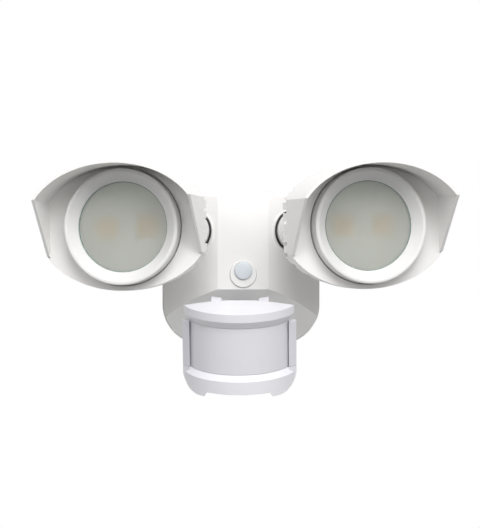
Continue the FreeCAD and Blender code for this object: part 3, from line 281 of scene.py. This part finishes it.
def reflector_white():
    finish = Finish("reflector_white", (0.82, 0.82, 0.79, 1), 0.22).mottle(60, 0.015)
    return finish.gloss(200, 0.18, 0.3).bump(finish.noise(1500), 0.00001, 0.2)


def core_amber():
    """A laminated core under varnish, with taped windings."""
    finish = Finish("core_amber", (0.30, 0.17, 0.05, 1), 0.4).soften(SMALL_EDGE)
    bands = finish.nodes.new("ShaderNodeTexWave")
    bands.inputs["Scale"].default_value = 260
    finish.links.new(finish.place, bands.inputs["Vector"])
    finish.tint(bands.outputs["Fac"], (0.36, 0.20, 0.06, 1), (0.16, 0.10, 0.04, 1))
    return finish.gloss(300, 0.3, 0.5).bump(bands.outputs["Fac"], 0.00005, 0.5)


def can_metal():
    finish = Finish("can_metal", (0.05, 0.06, 0.10, 1), 0.3).soften(0.0003).mottle(150, 0.1)
    return finish.gloss(300, 0.24, 0.4).bump(finish.noise(900), 0.00002, 0.3)


def relay_blue():
    return moulded("relay_blue", (0.05, 0.15, 0.42, 1), 0.32)


def terminal_beige():
    return moulded("terminal_beige", (0.66, 0.62, 0.52, 1), 0.5)


def cell_amber():
    """A light cell: a serpentine track under clear resin."""
    finish = Finish("cell_amber", (0.40, 0.18, 0.05, 1), 0.15)
    bands = finish.nodes.new("ShaderNodeTexWave")
    bands.inputs["Scale"].default_value = 180
    bands.inputs["Distortion"].default_value = 1.5
    finish.links.new(finish.place, bands.inputs["Vector"])
    finish.tint(bands.outputs["Fac"], (0.42, 0.18, 0.04, 1), (0.62, 0.55, 0.36, 1))
    finish.set(Coat_Weight=0.6)
    return finish.bump(bands.outputs["Fac"], 0.00003, 0.3)


def knob_grey():
    return moulded("knob_grey", (0.20, 0.21, 0.23, 1), 0.5, grain=1000, depth=0.00003)


def window_ring():
    """The photocell's ring, duller than the housing around it."""
    return moulded("window_ring", (0.86, 0.86, 0.845, 1), 0.5, edge=SMALL_EDGE)


def case_painted_shade():
    """The sensor's case, a little darker than its cap and tray: painted shade for the posts beside
    its lens, which turn away from the light.
    """
    return moulded("case_painted_shade", CASE_PAINTED_SHADE, 0.4, depth=0.00001, edge=0.00025)


FINISHES = {maker.__name__: maker().material for maker in (
    housing_white, head_white, cast_white, bezel_white, lamp_glass, sensor_white, lens_film,
    window_white, seal_black, zinc_steel, ground_green, inner_grey, board_green, board_metal,
    led_phosphor, reflector_white, core_amber, can_metal, relay_blue, terminal_beige, cell_amber,
    knob_grey,
)}


def dress_nodes():
    """Every CAD node takes the finish of its slot; the photocell ring has a tone of its own, and
    the sensor case a darker tone that is painted shade.
    """
    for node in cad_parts.values():
        for place in node.material_slots:
            place.material = FINISHES[place.material.name.split(".")[0]]
    for name, maker in (("photocell_ring", window_ring), ("sensor_case", case_painted_shade)):
        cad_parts[name].material_slots[0].material = maker().material


# Added pieces
def turned(name, points, base, axis, body, material):
    """A closed outline of (radius, height) points, turned about an axis through a base point."""
    place = Matrix.Translation(base) @ axis.to_track_quat("Z", "Y").to_matrix().to_4x4()
    form = bmesh.new()
    rings = []
    for step in range(TURNED_STEPS):
        angle = 2 * pi * step / TURNED_STEPS
        corners = [Vector((radius * cos(angle), radius * sin(angle), height))
                   for radius, height in points]
        rings.append([form.verts.new(place @ corner) for corner in corners])
    for ring, after in zip(rings, rings[1:] + rings[:1]):
        for low in range(len(points)):
            high = (low + 1) % len(points)
            if points[low][0] or points[high][0]:
                form.faces.new((ring[low], after[low], after[high], ring[high]))
    bmesh.ops.remove_doubles(form, verts=form.verts, dist=1e-7)
    bmesh.ops.recalc_face_normals(form, faces=form.faces)
    mesh = bpy.data.meshes.new(name)
    form.to_mesh(mesh)
    form.free()
    mesh.shade_smooth()
    mesh.materials.append(material)
    piece = bpy.data.objects.new(name, mesh)
    bpy.context.scene.collection.objects.link(piece)
    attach(piece, body)
    return piece


def disc(node):
    """The centre of a disc node's front face, and its normal towards the front."""
    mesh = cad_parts[node].data
    corners = [corner.co.copy() for corner in mesh.vertices]
    centre = sum(corners, Vector()) / len(corners)
    normal = max(mesh.polygons, key=lambda face: face.area).normal
    normal = normal if normal.y < 0 else -normal
    rise = max((corner - centre).dot(normal) for corner in corners)
    return centre + rise * normal, normal


def glass_bead(side):
    """A thin dark teal ring where the glass meets its bezel: partly the green of the glass's edge,
    partly a painted shadow line at the bezel's inner wall.
    """
    front, normal = disc(f"{side}_glass")
    opening = min((corner.co - front).cross(normal).length
                  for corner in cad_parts[f"{side}_bezel"].data.vertices)
    # Dark teal: the glass edge's green, darkened as a painted shadow line.
    finish = Finish(f"{side}_bead", (0.36, 0.49, 0.47, 1), 0.2).mottle(300, 0.2)
    finish.set(Transmission_Weight=0.3, IOR=1.5)
    finish.gloss(600, 0.15, 0.3).bump(finish.noise(1500), 0.00002, 0.3)
    gap, width, height = 0.00002, 0.00042, 0.0006
    outline = ((width, gap), (0.0003, 0.0004), (0.0001, height), (gap, height), (gap, gap))
    points = [(opening - inward, outward) for inward, outward in outline]
    turned(f"{side}_glass_bead", points, front, normal, f"{side}_head",
           finish.material)


def photocell_window():
    """The photocell's window, flatter than a ball: a shallow crown with a turned-down rim."""
    low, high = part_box("photocell_dome")
    radius = (high[0] - low[0]) / 2
    depth = high[1] - low[1]
    rim, rise = depth * 0.45, 0.0012
    steps = 14
    angles = [pi / 2 * step / steps for step in range(steps + 1)]
    crown = [(radius * sin(angle), rim + rise * cos(angle)) for angle in angles]
    base = Vector(((low[0] + high[0]) / 2, high[1], (low[2] + high[2]) / 2))
    window = turned("photocell_window", [(0.0, 0.0)] + crown + [(radius, 0.0)], base,
                    Vector((0, -1, 0)), "housing", FINISHES["window_white"])
    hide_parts("photocell_dome")


# Stage
def area_lamp(name, at, size, watts):
    """A soft lamp of a size in metres, turned to the object."""
    data = bpy.data.lights.new(name, "AREA")
    data.shape = "RECTANGLE"
    data.size, data.size_y = size
    data.energy = watts
    lamp = bpy.data.objects.new(name, data)
    bpy.context.scene.collection.objects.link(lamp)
    lamp.location = at
    lamp.rotation_euler = (Vector(LAMP_TARGET) - Vector(at)).to_track_quat("-Z", "Y").to_euler()
    lamp.visible_camera = False


def larger(nodes, links, first, second):
    """The larger of two values."""
    node = nodes.new("ShaderNodeMath")
    node.operation = "MAXIMUM"
    links.new(first, node.inputs[0])
    links.new(second, node.inputs[1])
    return node.outputs[0]


def seen_directly(nodes, links):
    """1 for rays from the camera, mirrors and glass, and 0 for the light that falls on things."""
    path = nodes.new("ShaderNodeLightPath")
    seen = path.outputs["Is Camera Ray"]
    for ray in ("Is Glossy Ray", "Is Transmission Ray"):
        seen = larger(nodes, links, seen, path.outputs[ray])
    return seen


def white_world(below, above):
    """A white backdrop for the camera, and otherwise a soft light that is stronger from above."""
    world = bpy.data.worlds.new("studio")
    bpy.context.scene.world = world
    world.use_nodes = True
    nodes, links = world.node_tree.nodes, world.node_tree.links
    direction = nodes.new("ShaderNodeTexCoord")
    axes = nodes.new("ShaderNodeSeparateXYZ")
    links.new(direction.outputs["Generated"], axes.inputs[0])
    sky = nodes.new("ShaderNodeMapRange")
    sky.interpolation_type = "SMOOTHSTEP"
    sky.inputs["From Min"].default_value = -0.35
    sky.inputs["From Max"].default_value = 0.65
    sky.inputs["To Min"].default_value = below
    sky.inputs["To Max"].default_value = above
    links.new(axes.outputs["Z"], sky.inputs["Value"])
    strength = nodes.new("ShaderNodeMapRange")
    strength.inputs["To Max"].default_value = 1.0
    links.new(sky.outputs["Result"], strength.inputs["To Min"])
    links.new(seen_directly(nodes, links), strength.inputs["Value"])
    nodes["Background"].inputs["Color"].default_value = (1, 1, 1, 1)
    links.new(strength.outputs["Result"], nodes["Background"].inputs["Strength"])


def pale_floor(height, radius):
    """A pale round floor under the object. It fades out at its edge, and is clear from below."""
    mesh = bpy.data.meshes.new("floor")
    form = bmesh.new()
    bmesh.ops.create_circle(form, cap_ends=True, segments=96, radius=radius)
    form.to_mesh(mesh)
    form.free()
    floor = bpy.data.objects.new("floor", mesh)
    floor.location = (0, -0.02, height)
    bpy.context.scene.collection.objects.link(floor)
    finish = Finish("floor", (0.86, 0.86, 0.855, 1), 0.8).mottle(3, 0.01)
    nodes, links = finish.nodes, finish.links
    far = nodes.new("ShaderNodeVectorMath")
    far.operation = "LENGTH"
    links.new(finish.place, far.inputs[0])
    edge = finish.remap(far.outputs["Value"], 0.0, 1.0, radius * 0.55, radius * 0.97)
    below = nodes.new("ShaderNodeNewGeometry").outputs["Backfacing"]
    fade = larger(nodes, links, edge, below)
    clear = nodes.new("ShaderNodeBsdfTransparent")
    blend = nodes.new("ShaderNodeMixShader")
    links.new(fade, blend.inputs["Fac"])
    links.new(finish.shader.outputs[0], blend.inputs[1])
    links.new(clear.outputs[0], blend.inputs[2])
    links.new(blend.outputs[0], nodes["Material Output"].inputs["Surface"])
    mesh.materials.append(finish.material)


def photo_camera():
    """The photograph's view: a long lens from the front, a little to the left."""
    frame_height = 528
    focal_pixels = 1849
    azimuth = radians(-2.12)
    distance = 1.35
    target = Vector((-0.00049, 0, 0.00362))
    data = bpy.data.cameras.new("camera")
    data.sensor_width = 36
    data.lens = focal_pixels * data.sensor_width / frame_height
    data.clip_start = 0.05
    data.clip_end = 20
    camera = bpy.data.objects.new("camera", data)
    bpy.context.scene.collection.objects.link(camera)
    camera.location = target + distance * Vector((sin(azimuth), -cos(azimuth), 0))
    camera.rotation_euler = (target - camera.location).to_track_quat("-Z", "Y").to_euler()
    bpy.context.scene.camera = camera


def stage():
    """Camera, lamps, backdrop and floor."""
    photo_camera()
    white_world(below=0.13, above=0.68)
    area_lamp("key", at=(0.2, -1.5, 1.2), size=(1.2, 1.0), watts=25)
    area_lamp("left_front", at=(-1.1, -1.5, 0.7), size=(0.9, 0.9), watts=7)
    area_lamp("right_front", at=(1.1, -1.5, 0.7), size=(0.9, 0.9), watts=7)
    pale_floor(height=-0.42, radius=0.45)
    bpy.context.scene.view_settings.view_transform = "Standard"


dress_nodes()
for lamp_side in ("left", "right"):
    glass_bead(lamp_side)
photocell_window()
stage()
